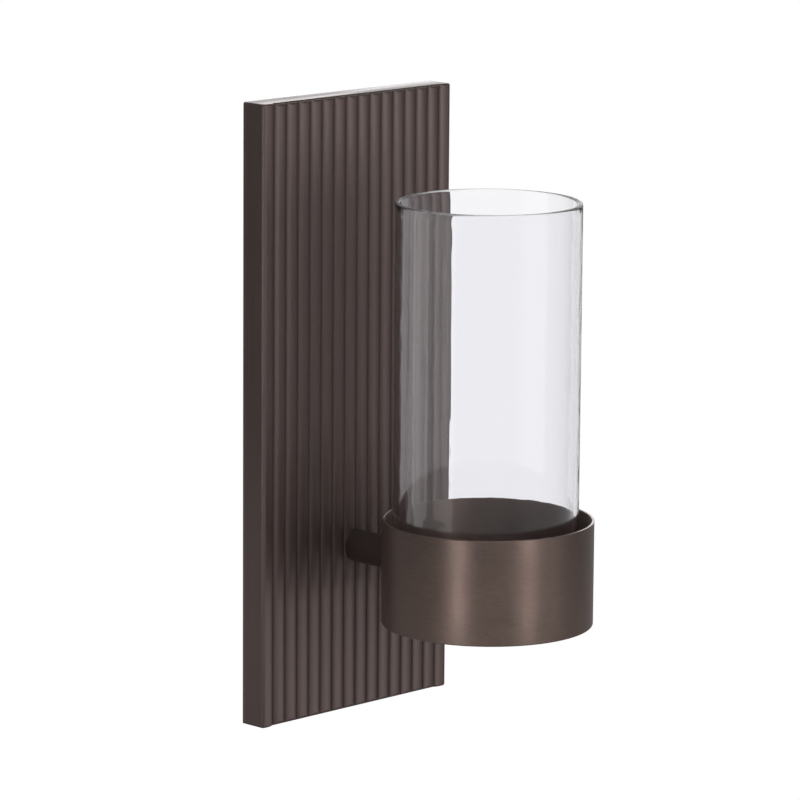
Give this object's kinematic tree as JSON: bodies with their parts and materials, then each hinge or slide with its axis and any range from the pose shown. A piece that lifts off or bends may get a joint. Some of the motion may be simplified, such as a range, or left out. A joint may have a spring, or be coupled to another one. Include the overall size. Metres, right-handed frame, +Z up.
{
  "type": "wall sconce candle holder",
  "caption": "Wall-hung pillar candle sconce: ribbed bronze metal back panel, short round arm, open round cup and a loose clear glass cylinder.",
  "frame": {"origin": "on the wall, midway between the entry holes of the two keyholes", "axes": "+Z up, +Y into the wall, the sconce faces -Y, +X to the right of someone looking at it"},
  "size_m": [0.127, 0.154, 0.3048],
  "materials": {
    "panel_bronze": "satin dark bronze, brushed along the ribs",
    "cup_bronze": "satin dark bronze, brushed round the cup",
    "floor_bronze": "satin dark bronze",
    "arm_bronze": "satin dark bronze",
    "strap_steel": "satin, sprayed with the pan",
    "zinc_fastener": "bright zinc plate",
    "black_screw": "black oxide",
    "pad_rubber": "matt",
    "clear_glass": "clear, polished rim"
  },
  "bodies": {
    "wall_unit": {"ribbed_panel": "panel_bronze", "hanger_strap": "strap_steel", "lower_strap": "strap_steel", "arm_backing_plate": "strap_steel", "wall_pad_left": "pad_rubber", "wall_pad_right": "pad_rubber", "arm_rod": "arm_bronze", "arm_bolt": "zinc_fastener", "flat_washer": "zinc_fastener", "spring_washer": "zinc_fastener", "locating_pin": "zinc_fastener", "cup_band": "cup_bronze", "cup_floor": "floor_bronze", "saddle_washer": "black_screw", "cup_screw": "black_screw"},
    "glass": {"glass_cylinder": "clear_glass"}
  },
  "joints": [
    {"name": "glass_lift", "type": "slide", "parent": "wall_unit", "child": "glass", "axis": [0, 0, 1], "range_m": [0, 0.06]}
  ]
}
